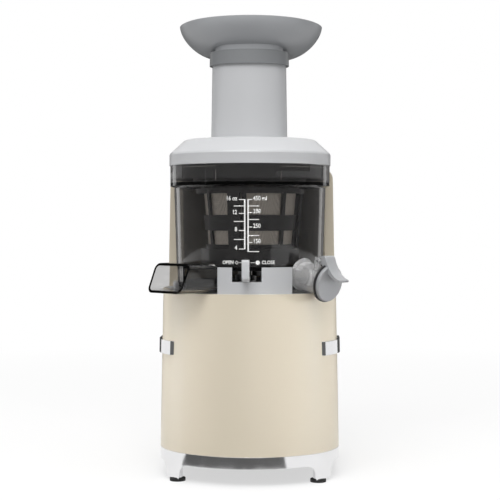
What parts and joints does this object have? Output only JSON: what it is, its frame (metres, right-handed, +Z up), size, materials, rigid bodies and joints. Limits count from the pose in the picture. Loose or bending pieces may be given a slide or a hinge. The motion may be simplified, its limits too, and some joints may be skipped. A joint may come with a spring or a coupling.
{
  "type": "cold press juicer",
  "caption": "Upright slow juicer with cream base, smoke tinted bowl, hinged juice cap, pulp lever, lid with feed tube and hopper tray, and a geared auger drive inside.",
  "frame": {"origin": "middle of the whole object's footprint, on the surface that it stands on", "axes": "+Z up, front with the scale and the pulp lever towards -Y, juice spout towards +X"},
  "size_m": [0.1731, 0.2088, 0.407],
  "materials": {
    "cream_paint": "gloss",
    "chrome": "polished",
    "grey_plastic": "satin",
    "tray_plastic": "satin",
    "smoke_clear": "clear smoke tint",
    "tinted_clear": "clear light tint",
    "black_seal": "matte",
    "grey_seal": "matte",
    "foot_rubber": "matte",
    "dark_plastic": "satin",
    "mesh_steel": "fine perforated",
    "auger_plastic": "satin",
    "steel": "turned",
    "copper": "enamelled wire",
    "gear_plastic": "satin",
    "black_plastic": "satin",
    "cast_case": "as cast",
    "board": "lacquered board"
  },
  "bodies": {
    "base": {"body_housing": "cream_paint", "rear_column": "cream_paint", "base_skirt": "chrome", "foot_pads": "foot_rubber", "bottom_cover": "black_plastic", "cover_screws": "steel", "floor_frame": "black_plastic", "side_badges": "chrome", "bowl_seat": "grey_plastic", "shaft_seal": "black_seal", "cable_gland": "black_plastic", "switch_bezel": "black_plastic", "motor_can": "steel", "motor_end_cap": "cast_case", "motor_bearings": "steel", "motor_stator": "steel", "motor_winding": "copper", "motor_cushion": "black_seal", "gearbox_case": "cast_case", "gearbox_cover": "cast_case", "gear_pin": "steel", "output_bearing": "steel", "control_board": "board", "interlock_switch": "black_plastic"},
    "rocker": {"power_rocker": "black_plastic"},
    "rotor": {"motor_rotor": "steel", "motor_shaft": "steel", "motor_pinion": "steel", "cooling_fan": "black_plastic"},
    "reduction": {"compound_gear": "gear_plastic"},
    "output": {"output_gear": "gear_plastic", "output_shaft": "steel"},
    "bowl": {"juice_bowl": "smoke_clear", "pulp_duct": "smoke_clear", "juice_spout": "tinted_clear", "cap_hinge_pin": "dark_plastic", "bowl_seal": "grey_seal", "lever_pivot_pin": "black_plastic", "strainer_frame": "dark_plastic", "strainer_mesh": "mesh_steel"},
    "lever": {"pulp_lever": "grey_plastic"},
    "cap": {"juice_cap": "grey_plastic", "cap_gasket": "black_seal"},
    "brush": {"brush_frame": "dark_plastic", "brush_wipers": "grey_seal"},
    "auger": {"auger": "auger_plastic", "auger_gear": "dark_plastic"},
    "idler": {"brush_idler": "gear_plastic"},
    "lid": {"juicer_lid": "grey_plastic", "lid_bush": "dark_plastic", "lid_seal": "grey_seal"},
    "tray": {"hopper_tray": "tray_plastic"}
  },
  "joints": [
    {"name": "bowl_lift", "type": "slide", "parent": "base", "child": "bowl", "axis": [0, 0, 1], "range_m": [0, 0.06]},
    {"name": "lid_twist", "type": "hinge", "parent": "bowl", "child": "lid", "pos_m": [0, -0.018, 0.28], "axis": [0, 0, 1], "range_deg": [0, 25]},
    {"name": "tray_lift", "type": "slide", "parent": "lid", "child": "tray", "axis": [0, 0, 1], "range_m": [0, 0.04]},
    {"name": "cap_hinge", "type": "hinge", "parent": "bowl", "child": "cap", "pos_m": [0.06658, -0.07975, 0.19502], "axis": [-0.6756, -0.7373, 0], "range_deg": [0, 100]},
    {"name": "pulp_lever_turn", "type": "hinge", "parent": "bowl", "child": "lever", "pos_m": [-0.0002, -0.068, 0.18], "axis": [0, 0, 1], "range_deg": [-14, 14]},
    {"name": "power_rocker_tilt", "type": "hinge", "parent": "base", "child": "rocker", "pos_m": [-0.03, 0.1005, 0.058], "axis": [1, 0, 0], "range_deg": [-9, 9]},
    {"name": "rotor_spin", "type": "hinge", "parent": "base", "child": "rotor", "pos_m": [0, -0.018, 0.07], "axis": [0, 0, 1], "continuous": true},
    {"name": "reduction_spin", "type": "hinge", "parent": "base", "child": "reduction", "pos_m": [0, 0.012, 0.12], "axis": [0, 0, 1], "continuous": true},
    {"name": "output_spin", "type": "hinge", "parent": "base", "child": "output", "pos_m": [0, -0.018, 0.15], "axis": [0, 0, 1], "continuous": true},
    {"name": "auger_spin", "type": "hinge", "parent": "bowl", "child": "auger", "pos_m": [0, -0.018, 0.23], "axis": [0, 0, 1], "continuous": true},
    {"name": "idler_spin", "type": "hinge", "parent": "bowl", "child": "idler", "pos_m": [0.01275, 0.00408, 0.194], "axis": [0, 0, 1], "continuous": true},
    {"name": "brush_spin", "type": "hinge", "parent": "bowl", "child": "brush", "pos_m": [0, -0.018, 0.22], "axis": [0, 0, 1], "continuous": true}
  ],
  "couplings": [
    {"joint": "reduction_spin", "follows": "rotor_spin", "ratio": -0.2},
    {"joint": "output_spin", "follows": "rotor_spin", "ratio": 0.05},
    {"joint": "auger_spin", "follows": "rotor_spin", "ratio": 0.05},
    {"joint": "idler_spin", "follows": "rotor_spin", "ratio": -0.071429},
    {"joint": "brush_spin", "follows": "rotor_spin", "ratio": -0.020833}
  ]
}
